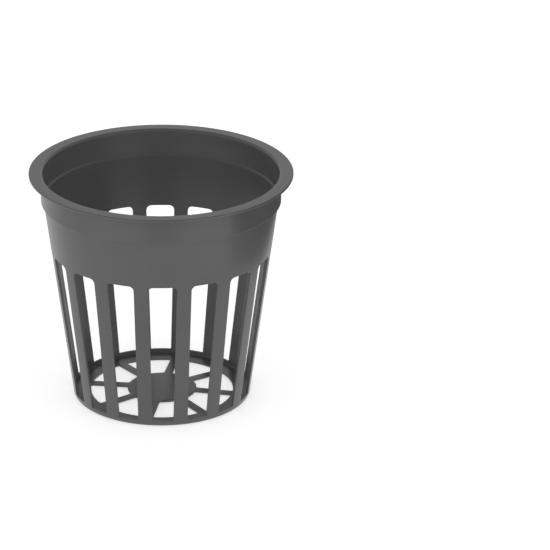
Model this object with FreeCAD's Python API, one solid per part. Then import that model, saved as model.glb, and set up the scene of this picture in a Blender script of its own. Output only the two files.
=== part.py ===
import FreeCAD, Part
import math
import os

# Hydroponic net pot: one injection moulding, shaped as a tapered slotted basket under a
# straight collar and a flat rim flange, with an open floor of eight spokes around a hub.
# Millimetres, +Z up. The origin is the centre of the standing ring's underside, and the
# middle of one slot faces -Y.

# Rim flange and collar
rim_diameter = 95.0
pot_height = 86.0
flange_thickness = 0.9
flange_edge_chamfer = 0.2
flange_root_chamfer = 0.35
mouth_radius = 1.0            # rounding of the mouth's inner edge
collar_diameter = 86.4
collar_ledge_height = 75.2    # height of the ledge where the collar ends
collar_inner_draft = 1.0      # degrees

# Basket wall
base_diameter = 64.3          # of the outer wall, carried down to the ground
wall_draft = 7.66              # degrees from the pot's axis
wall_thickness = 0.8
base_chamfer = 0.75
ledge_root_chamfer = 0.2
shelf_height = 76.0           # inner edge of the stacking shelf behind the ledge
shelf_rise = 0.6

# Wall slots
slot_count = 16
rib_width = 5.4
slot_sill_height = 2.3
slot_head_height = 57.2
slot_head_radius = 1.8

# Floor
floor_thickness = 0.7
floor_lift_at_ring = 0.15     # gap under the floor beside the standing ring
floor_lift_at_hub = 0.5
floor_corner_chamfer = 0.5
standing_ring_width = 5.6     # out to the sharp corner of the base
spoke_count = 8
spoke_width = 3.15
hub_diameter = 25.2
window_outer_diameter = 52.0
window_corner_radius = 0.6

# Ejector mark on the hub
mark_diameter = 4.1
mark_depth = 0.12
mark_offset = 4.5             # behind the hub's centre

rim_radius = rim_diameter / 2
collar_radius = collar_diameter / 2
mouth_inner_radius = collar_radius - wall_thickness
rim_underside = pot_height - flange_thickness
base_radius = base_diameter / 2
floor_top_at_ring = floor_lift_at_ring + floor_thickness
floor_top_at_hub = floor_lift_at_hub + floor_thickness
hub_radius = hub_diameter / 2
window_outer_radius = window_outer_diameter / 2
wall_slope = math.tan(math.radians(wall_draft))
slot_pitch = 360 / slot_count
spoke_pitch = 360 / spoke_count
window_cut_depth = 4 * floor_thickness
edge_match = 0.01             # how near a point must be to name an edge
axis_foot = FreeCAD.Vector(0, 0, 0)
up = FreeCAD.Vector(0, 0, 1)


def outer_radius(height):
    """Radius of the basket wall's outer face at a height."""
    return base_radius + wall_slope * height


def inner_radius(height):
    """Radius of the basket wall's inner face at a height."""
    return outer_radius(height) - wall_thickness / math.cos(math.radians(wall_draft))


def upright_face(outline):
    """Flat face on the XZ plane inside an outline of (x, z) points."""
    points = [FreeCAD.Vector(x, 0, z) for x, z in outline]
    return Part.Face(Part.makePolygon(points + points[:1]))


def pot_section():
    """The moulding's section, from the axis out, up the outside and back down the inside."""
    collar_drop = pot_height - shelf_height - shelf_rise
    shelf_outer_radius = mouth_inner_radius - collar_drop * math.tan(math.radians(collar_inner_draft))
    ring_inner_radius = base_radius - standing_ring_width
    return [
        (0, floor_lift_at_hub),
        (hub_radius, floor_lift_at_hub),
        (ring_inner_radius - floor_lift_at_ring, floor_lift_at_ring),
        (ring_inner_radius, 0),
        (base_radius, 0),
        (outer_radius(collar_ledge_height), collar_ledge_height),
        (collar_radius, collar_ledge_height),
        (collar_radius, rim_underside),
        (rim_radius, rim_underside),
        (rim_radius, pot_height),
        (mouth_inner_radius, pot_height),
        (shelf_outer_radius, shelf_height + shelf_rise),
        (inner_radius(shelf_height), shelf_height),
        (inner_radius(floor_top_at_ring), floor_top_at_ring),
        (window_outer_radius, floor_top_at_ring),
        (hub_radius, floor_top_at_hub),
        (0, floor_top_at_hub),
    ]


def ring_edges(shape, places):
    """Round edges of a turned shape, each found by its (radius, height)."""
    spots = [FreeCAD.Vector(radius, 0, height) for radius, height in places]
    found = []
    for edge in shape.Edges:
        ends = edge.valueAt(edge.FirstParameter), edge.valueAt(edge.LastParameter)
        for spot in spots:
            if all(end.isEqual(spot, edge_match) for end in ends):
                found.append(edge)
    return found


def moulded_shell():
    """The pot before any slot or window: its section turned about the axis, with broken edges."""
    shell = upright_face(pot_section()).revolve(axis_foot, up, 360)
    shell = shell.makeFillet(mouth_radius, ring_edges(shell, [(mouth_inner_radius, pot_height)]))
    chamfers = [
        (flange_edge_chamfer, [(rim_radius, pot_height), (rim_radius, rim_underside)]),
        (flange_root_chamfer, [(collar_radius, rim_underside)]),
        (ledge_root_chamfer, [(outer_radius(collar_ledge_height), collar_ledge_height)]),
        (base_chamfer, [(base_radius, 0)]),
        (floor_corner_chamfer, [(inner_radius(floor_top_at_ring), floor_top_at_ring)]),
    ]
    for size, places in chamfers:
        shell = shell.makeChamfer(size, ring_edges(shell, places))
    return shell


def slot_width(height):
    """Width that leaves ribs of one width all the way up the tapered wall."""
    pitch = math.radians(slot_pitch)
    rib_share = rib_width * math.cos(pitch / 2)
    return 2 * (outer_radius(height) * math.sin(pitch) - rib_share) / (1 + math.cos(pitch))


def slot_cutter():
    """Tapered slot with a radiused head, as a bar that runs out through the -Y wall."""
    sill_half = slot_width(slot_sill_height) / 2
    head_half = slot_width(slot_head_height) / 2
    outline = [
        (-sill_half, slot_sill_height),
        (sill_half, slot_sill_height),
        (head_half, slot_head_height),
        (-head_half, slot_head_height),
    ]
    bar = upright_face(outline).extrude(FreeCAD.Vector(0, -rim_radius, 0))
    bar.translate(FreeCAD.Vector(0, -hub_radius, 0))
    head_edges = [
        edge for edge in bar.Edges
        if edge.BoundBox.YLength > hub_radius and edge.CenterOfMass.z > pot_height / 2
    ]
    return bar.makeFillet(slot_head_radius, head_edges)


def window_cutter():
    """One floor window: a ring sector with parallel spoke sides and rounded corners."""
    outer_turn = math.asin(spoke_width / 2 / window_outer_radius)
    inner_turn = math.asin(spoke_width / 2 / hub_radius)
    pitch = math.radians(spoke_pitch)

    def at(radius, angle):
        return FreeCAD.Vector(radius * math.cos(angle), radius * math.sin(angle), 0)

    outer_start = at(window_outer_radius, outer_turn)
    outer_end = at(window_outer_radius, pitch - outer_turn)
    inner_start = at(hub_radius, pitch - inner_turn)
    inner_end = at(hub_radius, inner_turn)
    outline = Part.Wire([
        Part.Arc(outer_start, at(window_outer_radius, pitch / 2), outer_end).toShape(),
        Part.LineSegment(outer_end, inner_start).toShape(),
        Part.Arc(inner_start, at(hub_radius, pitch / 2), inner_end).toShape(),
        Part.LineSegment(inner_end, outer_start).toShape(),
    ])
    blank = Part.Face(outline).extrude(up * window_cut_depth)
    blank.translate(up * -floor_thickness)
    upright = [edge for edge in blank.Edges if edge.BoundBox.ZLength > floor_thickness]
    return blank.makeFillet(window_corner_radius, upright)


def ejector_mark():
    """Shallow round mark in the top of the hub."""
    bottom = FreeCAD.Vector(0, mark_offset, floor_top_at_hub - mark_depth)
    return Part.makeCylinder(mark_diameter / 2, floor_thickness, bottom)


def ring_of(shape, count, first_angle):
    """Copies of a shape turned evenly about the pot's axis."""
    copies = []
    for index in range(count):
        turned = shape.copy()
        turned.rotate(axis_foot, up, first_angle + index * 360 / count)
        copies.append(turned)
    return copies


def net_pot():
    """The whole moulding."""
    slots = ring_of(slot_cutter(), slot_count, 0)
    windows = ring_of(window_cutter(), spoke_count, -slot_pitch / 2)
    return moulded_shell().cut(slots + windows + [ejector_mark()]).Solids[0]


os.makedirs("parts", exist_ok=True)
pot = net_pot()
pot.exportStep("parts/net_pot.step")
print("solids", len(pot.Solids), "valid", pot.isValid(), "volume mm3", round(pot.Volume, 1))
print("box", pot.BoundBox)
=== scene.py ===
import bpy
import bmesh
import math
from mathutils import Matrix, Vector


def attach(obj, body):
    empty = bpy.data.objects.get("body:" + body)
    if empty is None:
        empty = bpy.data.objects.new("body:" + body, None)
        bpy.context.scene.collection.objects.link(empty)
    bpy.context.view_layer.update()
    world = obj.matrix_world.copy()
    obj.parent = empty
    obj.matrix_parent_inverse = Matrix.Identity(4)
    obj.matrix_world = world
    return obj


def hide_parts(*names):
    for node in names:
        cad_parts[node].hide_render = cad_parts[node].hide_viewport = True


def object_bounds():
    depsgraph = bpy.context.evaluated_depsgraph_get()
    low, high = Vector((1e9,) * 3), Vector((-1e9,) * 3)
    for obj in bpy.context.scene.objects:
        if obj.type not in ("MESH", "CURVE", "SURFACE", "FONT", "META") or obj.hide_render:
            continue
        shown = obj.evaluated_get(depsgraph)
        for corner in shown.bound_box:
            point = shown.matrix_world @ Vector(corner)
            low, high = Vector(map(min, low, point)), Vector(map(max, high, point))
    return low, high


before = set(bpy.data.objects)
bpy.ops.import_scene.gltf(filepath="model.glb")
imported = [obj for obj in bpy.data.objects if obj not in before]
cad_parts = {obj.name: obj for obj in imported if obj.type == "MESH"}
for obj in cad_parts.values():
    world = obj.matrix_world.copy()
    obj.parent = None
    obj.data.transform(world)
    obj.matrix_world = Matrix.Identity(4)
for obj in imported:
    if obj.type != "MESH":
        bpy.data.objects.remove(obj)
cadLow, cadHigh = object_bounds()
mm = 0.001                             # the pot is drawn in millimetres and scaled at the end
rimRadius = (cadHigh.x - cadLow.x) / 2 / mm
potHeight = (cadHigh.z - cadLow.z) / mm
print("frame loaded, rim", round(2 * rimRadius, 1), "mm, height", round(potHeight, 1), "mm")


# ---- drawing helpers

def addOutline(bm, corners):
    # a face on the XZ plane, with each (x, z, radius) corner rounded by its own radius
    spots = [Vector((x, 0, z)) for x, z, radius in corners]
    verts = [bm.verts.new(spot) for spot in spots]
    bm.faces.new(verts)
    for index, (x, z, radius) in enumerate(corners):
        if radius > 0:
            toBefore = spots[index - 1] - spots[index]
            toAfter = spots[(index + 1) % len(spots)] - spots[index]
            reach = radius / math.tan(toBefore.angle(toAfter) / 2)
            bmesh.ops.bevel(bm, geom=[verts[index]], offset=reach, offset_type="OFFSET",
                            segments=max(3, round(5 * radius)), profile=0.5,
                            affect="VERTICES", material=-1)


def cutRows(bm, places, direction):
    # points along a wire where planes at these places cross it
    for place in places:
        bmesh.ops.bisect_plane(bm, geom=bm.edges[:] + bm.verts[:], dist=0.0001,
                               plane_co=direction * place, plane_no=direction)


def roundedHalf(place, end, half, radius):
    # half width of a hole near its end, where its corners are rounded
    into = radius - (end - place)
    if into <= 0:
        return half
    return half - radius + math.sqrt(max(radius ** 2 - into ** 2, 0))


def blendBetween(place, start, end):
    return min(max((place - start) / (end - start), 0), 1)


# ---- the pot: one moulding

pot = {
    "flangeThick": 0.9,
    "flangeEdge": 0.3,                 # radius of the flange's outer edges
    "flangeRoot": 0.5,
    "mouthRadius": 1.0,
    "collarRadius": 43.2,
    "collarCorner": 0.25,
    "collarDraft": 1.0,                # degrees, inside the collar
    "ledgeHeight": 75.2,
    "ledgeRoot": 0.3,
    "shelfHeight": 76.0,
    "shelfRise": 0.6,
    "shelfCorner": 0.3,
    "baseRadius": 32.15,
    "baseCorner": 1.2,
    "wallDraft": 7.66,                 # degrees
    "wallThick": 0.8,
    "slots": 16,
    "ribWidth": 5.4,
    "sillHeight": 2.3,
    "headHeight": 57.2,
    "headRadius": 1.8,
    "ringWidth": 5.6,
    "floorThick": 0.7,
    "ringLift": 0.15,
    "hubLift": 0.5,
    "floorCorner": 0.8,
    "spokes": 8,
    "spokeWidth": 3.15,
    "hubRadius": 12.6,
    "windowRadius": 26.0,
    "windowCorner": 0.6,
    "edgeBreak": 0.13,                 # rounding of every slot and window edge
    "markRadius": 2.05,
    "markBack": 4.5,                   # ejector mark, behind the hub's centre
    "markDepth": 0.12,
}
slope = math.tan(math.radians(pot["wallDraft"]))
innerOffset = pot["wallThick"] / math.cos(math.radians(pot["wallDraft"]))
mouthInner = pot["collarRadius"] - pot["wallThick"]
floorTopRing = pot["ringLift"] + pot["floorThick"]
floorTopHub = pot["hubLift"] + pot["floorThick"]
columnsPerSlot = 16
columns = columnsPerSlot * pot["slots"]
columnTurn = 2 * math.pi / columns
ribColumns = 3                         # from a rib's middle to the edge of its slot
columnsPerWindow = columns // pot["spokes"]
spokeColumns = 3
windowShift = columnsPerSlot // 2      # each spoke runs out to the foot of a rib
wallStart = pot["windowRadius"] + 1.5  # what lies further out follows the slots, not the windows


def outerRadius(height):
    return pot["baseRadius"] + slope * height


def innerRadius(height):
    return outerRadius(height) - innerOffset


def drawSection(bm):
    # the moulding's section, from the axis out, up the outside and back down the inside
    underRim = potHeight - pot["flangeThick"]
    shelfOuter = pot["shelfHeight"] + pot["shelfRise"]
    drop = (potHeight - shelfOuter) * math.tan(math.radians(pot["collarDraft"]))
    ringInner = pot["baseRadius"] - pot["ringWidth"]
    addOutline(bm, [
        (0, pot["hubLift"], 0),
        (pot["hubRadius"], pot["hubLift"], 0),
        (ringInner - pot["ringLift"], pot["ringLift"], 0),
        (ringInner, 0, 0),
        (pot["baseRadius"], 0, pot["baseCorner"]),
        (outerRadius(pot["ledgeHeight"]), pot["ledgeHeight"], pot["ledgeRoot"]),
        (pot["collarRadius"], pot["ledgeHeight"], pot["collarCorner"]),
        (pot["collarRadius"], underRim, pot["flangeRoot"]),
        (rimRadius, underRim, pot["flangeEdge"]),
        (rimRadius, potHeight, pot["flangeEdge"]),
        (mouthInner, potHeight, pot["mouthRadius"]),
        (mouthInner - drop, shelfOuter, pot["shelfCorner"]),
        (innerRadius(pot["shelfHeight"]), pot["shelfHeight"], pot["shelfCorner"]),
        (innerRadius(floorTopRing), floorTopRing, pot["floorCorner"]),
        (pot["windowRadius"], floorTopRing, 0),
        (pot["hubRadius"], floorTopHub, 0),
        (0, floorTopHub, 0),
    ])
    bmesh.ops.delete(bm, geom=bm.faces[:], context="FACES_ONLY")
    onAxis = [edge for edge in bm.edges if max(vert.co.x for vert in edge.verts) < 0.001]
    bmesh.ops.delete(bm, geom=onAxis, context="EDGES_FACES")


def arcRows(end, radius, towards):
    # rows through a hole's rounded corners, closer together as the arc flattens
    turns = [math.radians(angle) for angle in (0, 18, 36, 54, 72, 90)]
    return [end - towards * radius * (1 - math.sin(turn)) for turn in turns]


def slotHalf(height):
    # half width that leaves ribs of one width all the way up, with a rounded head
    pitch = 2 * math.pi / pot["slots"]
    ribShare = pot["ribWidth"] * math.cos(pitch / 2)
    half = (outerRadius(height) * math.sin(pitch) - ribShare) / (1 + math.cos(pitch))
    return roundedHalf(height, pot["headHeight"], half, pot["headRadius"])


def windowHalfTurn(radius):
    # half the angle that a floor window takes at a radius, between spokes with parallel sides
    turn = math.pi / pot["spokes"] - math.asin(pot["spokeWidth"] / 2 / radius)
    corner = pot["windowCorner"]
    half = turn * radius
    half = roundedHalf(radius, pot["windowRadius"], half, corner)
    half = roundedHalf(-radius, -pot["hubRadius"], half, corner)
    return half / radius


def spacedTurn(column, unit, edgeColumns, edgeTurn):
    # the angle for a column when each hole, one per unit, has its edges on two of the columns
    middle = round(column / unit) * unit
    offset = abs(column - middle)
    inside = unit / 2 - edgeColumns
    if offset <= inside:
        turn = edgeTurn * offset / inside
    else:
        turn = edgeTurn + (offset - inside) / edgeColumns * (unit / 2 * columnTurn - edgeTurn)
    return middle * columnTurn + math.copysign(turn, column - middle)


def placeColumns(bm):
    # moves each point round its own circle until the columns follow the slots and the windows
    for vert in bm.verts:
        x, y, z = vert.co
        radius = math.hypot(x, y)
        even = math.atan2(y, x)
        column = round(even / columnTurn)
        if radius > wallStart:
            height = min(max(z, pot["sillHeight"]), pot["headHeight"])
            edgeTurn = math.asin(slotHalf(height) / radius)
            target = spacedTurn(column, columnsPerSlot, ribColumns, edgeTurn)
            share = 1 - blendBetween(z, pot["headHeight"], pot["headHeight"] + 7)
            share *= blendBetween(z, 0.3, pot["sillHeight"])
        else:
            near = min(max(radius, pot["hubRadius"]), pot["windowRadius"])
            edgeTurn = windowHalfTurn(near)
            target = spacedTurn(column - windowShift, columnsPerWindow, spokeColumns, edgeTurn)
            target += windowShift * columnTurn
            share = 1 - blendBetween(radius, pot["windowRadius"], wallStart)
            share *= blendBetween(radius, pot["hubRadius"] * 0.55, pot["hubRadius"])
        turn = even + share * (target - even)
        vert.co = Vector((radius * math.cos(turn), radius * math.sin(turn), z))


def findHoles(bm):
    # the faces of both skins that each slot and window takes out
    holes = {}
    for face in bm.faces:
        at = face.calc_center_median()
        radius = at.to_2d().length
        column = math.atan2(at.y, at.x) / columnTurn
        if radius > wallStart and pot["sillHeight"] < at.z < pot["headHeight"]:
            kind, unit, shift, edge = "slot", columnsPerSlot, 0, ribColumns
        elif pot["hubRadius"] < radius < pot["windowRadius"]:
            kind, unit, shift, edge = "window", columnsPerWindow, windowShift, spokeColumns
        else:
            continue
        index = round((column - shift) / unit)
        if abs(column - shift - index * unit) < unit / 2 - edge:
            holes.setdefault((kind, index % (columns // unit)), []).append(face)
    return list(holes.values())


def openHole(bm, faces):
    # takes the faces out of both skins and joins the two rims with side walls
    rims = {edge for face in faces for edge in face.edges}
    bmesh.ops.delete(bm, geom=faces, context="FACES")
    rims = [edge for edge in rims if edge.is_valid and edge.is_boundary]
    bmesh.ops.bridge_loops(bm, edges=rims)
    return rims


def makePot():
    bm = bmesh.new()
    drawSection(bm)
    slotRows = [pot["sillHeight"] + step * 4.6 for step in range(12)]
    slotRows += arcRows(pot["headHeight"], pot["headRadius"], 1)
    bandRows = [pot["headHeight"] + step for step in (0.8, 2.5, 5, 8, 12)]
    cutRows(bm, slotRows + bandRows, Vector((0, 0, 1)))
    windowRows = arcRows(pot["windowRadius"], pot["windowCorner"], 1)
    windowRows += arcRows(pot["hubRadius"], pot["windowCorner"], -1)
    windowRows += [pot["hubRadius"] + step for step in (3, 6, 9)]
    hubRows = [pot["hubRadius"] * share for share in (0.25, 0.55, 0.9)]
    cutRows(bm, windowRows + hubRows, Vector((1, 0, 0)))
    bmesh.ops.spin(bm, geom=bm.verts[:] + bm.edges[:], cent=(0, 0, 0), axis=(0, 0, 1),
                   angle=2 * math.pi, steps=columns, use_merge=True)
    bmesh.ops.remove_doubles(bm, verts=bm.verts[:], dist=0.0005)
    bmesh.ops.recalc_face_normals(bm, faces=bm.faces[:])
    print("section turned,", len(bm.faces), "faces")

    holes = findHoles(bm)
    placeColumns(bm)
    rims = []
    for faces in holes:
        rims += openHole(bm, faces)
    print("slots and windows opened,", len(holes), "holes")
    rims = [edge for edge in rims if edge.is_valid]
    bmesh.ops.bevel(bm, geom=rims, offset=pot["edgeBreak"], offset_type="OFFSET", segments=2,
                    profile=0.5, affect="EDGES", clamp_overlap=True, material=-1)
    bmesh.ops.recalc_face_normals(bm, faces=bm.faces[:])
    return bm


def finishPiece(bm, name, sharpAngle):
    bmesh.ops.scale(bm, vec=(mm, mm, mm), verts=bm.verts[:])
    mesh = bpy.data.meshes.new(name)
    bm.to_mesh(mesh)
    bm.free()
    piece = bpy.data.objects.new(name, mesh)
    bpy.context.scene.collection.objects.link(piece)
    mesh.shade_smooth()
    mesh.set_sharp_from_angle(angle=math.radians(sharpAngle))
    return piece


potPiece = finishPiece(makePot(), "netPotMoulding", 35)
smoothing = potPiece.modifiers.new("evenShading", "WEIGHTED_NORMAL")
smoothing.keep_sharp = True
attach(potPiece, "root")
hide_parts("net_pot")
print("pot made,", len(potPiece.data.polygons), "faces")


# ---- finishes

class Wire:                            # a socket that plain arithmetic works on
    def __init__(self, shading, socket):
        self.shading = shading
        self.socket = socket

    def math(self, operation, first, second):
        return self.shading.node("Math", {"operation": operation}, {0: first, 1: second})

    def __add__(self, other):
        return self.math("ADD", self, other)

    def __radd__(self, other):
        return self.math("ADD", other, self)

    def __sub__(self, other):
        return self.math("SUBTRACT", self, other)

    def __rsub__(self, other):
        return self.math("SUBTRACT", other, self)

    def __mul__(self, other):
        return self.math("MULTIPLY", self, other)

    def __rmul__(self, other):
        return self.math("MULTIPLY", other, self)


class Shading:                         # a node tree, and the shader in it that everything feeds
    def __init__(self, owner, shaderName):
        owner.use_nodes = True
        self.tree = owner.node_tree
        self.shader = self.tree.nodes[shaderName]

    def node(self, kind, settings, inputs, output=0):
        made = self.tree.nodes.new("ShaderNode" + kind)
        for name, value in settings.items():
            setattr(made, name, value)
        for name, value in inputs.items():
            self.feed(made.inputs[name], value)
        return Wire(self, made.outputs[output])

    def step(self, value, start, end, low, high):
        inputs = {"Value": value, "From Min": start, "From Max": end, "To Min": low, "To Max": high}
        return self.node("MapRange", {"interpolation_type": "SMOOTHSTEP"}, inputs)

    def feed(self, socket, value):
        if isinstance(value, Wire):
            self.tree.links.new(value.socket, socket)
        else:
            socket.default_value = value

    def set(self, name, value):
        self.feed(self.shader.inputs[name], value)


def newMaterial(name):
    material = bpy.data.materials.new(name)
    return material, Shading(material, "Principled BSDF")


plastic = {
    "dark": (0.068, 0.068, 0.070, 1),
    "light": (0.084, 0.084, 0.086, 1),
    "roughness": 0.32,
    "roughnessSpread": 0.08,
    "cloudScale": 60,                  # soft mottling of the tone, in cells a metre
    "grainScale": 2600,                # fine texture of the mould's surface
    "grainHeight": 0.0001,
    "grainStrength": 0.08,
    "bend": 1.49,                      # refractive index
}


def makePlastic():
    material, finish = newMaterial("satinPotPlastic")
    place = finish.node("TexCoord", {}, {}, "Object")
    cloud = finish.node("TexNoise", {}, {"Vector": place, "Scale": plastic["cloudScale"], "Detail": 3})
    grain = finish.node("TexNoise", {}, {"Vector": place, "Scale": plastic["grainScale"], "Detail": 2})
    tone = finish.node("Mix", {"data_type": "RGBA"},
                       {0: cloud, 6: plastic["dark"], 7: plastic["light"]}, 2)
    finish.set("Base Color", tone)
    finish.set("Roughness", plastic["roughness"] + (cloud - 0.5) * plastic["roughnessSpread"])
    finish.set("Normal", finish.node("Bump", {}, {
        "Strength": plastic["grainStrength"], "Distance": plastic["grainHeight"], "Height": grain}))
    finish.set("IOR", plastic["bend"])
    return material


potPiece.data.materials.append(makePlastic())
print("plastic made")


# ---- studio

studio = {
    "floorSize": 6.0,
    "floorTone": (0.86, 0.86, 0.86, 1),
    "floorGlow": 0.55,
    "horizon": 1.0,
    "zenith": 0.45,
    "below": 1.05,
    "front": 0.75,                     # the darker gap between two soft boxes
    "boxes": 1.4,
    "cardFrom": (0.095, -0.06, 0.02),  # dark card at the right, only seen in reflections
    "cardTo": (0.075, 0.22, 0.11),
}


def addStage(bm, name, material):
    mesh = bpy.data.meshes.new(name)
    bm.to_mesh(mesh)
    bm.free()
    mesh.materials.append(material)
    thing = bpy.data.objects.new(name, mesh)
    bpy.context.scene.collection.objects.link(thing)
    return thing


def makeFloor():
    bm = bmesh.new()
    bmesh.ops.create_grid(bm, x_segments=1, y_segments=1, size=studio["floorSize"] / 2)
    material, finish = newMaterial("palePaper")
    finish.set("Base Color", studio["floorTone"])
    finish.set("Roughness", 0.9)
    finish.set("Emission Color", (1, 1, 1, 1))
    finish.set("Emission Strength", studio["floorGlow"])
    floor = addStage(bm, "studioFloor", material)
    floor.visible_glossy = False


def makeCard():
    bm = bmesh.new()
    x1, y1, z1 = studio["cardFrom"]
    x2, y2, z2 = studio["cardTo"]
    foot = [bm.verts.new((x1, y1, z1)), bm.verts.new((x2, y2, z1))]
    edge = bm.edges.new(foot)
    risen = bmesh.ops.extrude_edge_only(bm, edges=[edge])["geom"]
    top = [item for item in risen if isinstance(item, bmesh.types.BMVert)]
    bmesh.ops.translate(bm, verts=top, vec=(0, 0, z2 - z1))
    material, finish = newMaterial("blackCard")
    finish.set("Base Color", (0.02, 0.02, 0.02, 1))
    finish.set("Roughness", 0.9)
    card = addStage(bm, "darkCard", material)
    card.visible_camera = False
    card.visible_diffuse = False
    card.visible_shadow = False


def makeSky():
    world = bpy.data.worlds.new("softStudio")
    bpy.context.scene.world = world
    sky = Shading(world, "Background")
    direction = sky.node("TexCoord", {}, {}, "Generated")
    x = sky.node("SeparateXYZ", {}, {0: direction}, "X")
    y = sky.node("SeparateXYZ", {}, {0: direction}, "Y")
    z = sky.node("SeparateXYZ", {}, {0: direction}, "Z")
    sideways = x.math("ABSOLUTE", x, 0)
    dome = sky.step(z, 0.0, 0.9, studio["horizon"], studio["zenith"])
    lower = sky.step(z, -0.9, -0.45, studio["below"], studio["horizon"])
    boxes = sky.step(sideways, 0.2, 0.32, studio["front"], studio["boxes"])
    boxes = 1 + (boxes - 1) * sky.step(y, -0.5, -0.1, 1, 0) * sky.step(z, -0.6, -0.4, 0, 1)
    sky.set("Strength", dome * lower * boxes)
    sky.set("Color", (1, 1, 1, 1))


makeFloor()
makeCard()
makeSky()

camera = {
    "place": (-0.01253, -1.33697, 0.60785),
    "turn": (67.193, -0.403, -2.130),  # degrees
    "lens": 261.8,
}
lensData = bpy.data.cameras.new("studioCamera")
lensData.lens = camera["lens"]
lensData.sensor_width = 36
lensData.clip_end = 20
cameraObject = bpy.data.objects.new("studioCamera", lensData)
cameraObject.location = camera["place"]
cameraObject.rotation_euler = [math.radians(angle) for angle in camera["turn"]]
bpy.context.scene.collection.objects.link(cameraObject)
bpy.context.scene.camera = cameraObject
bpy.context.scene.view_settings.view_transform = "Standard"
print("studio made")
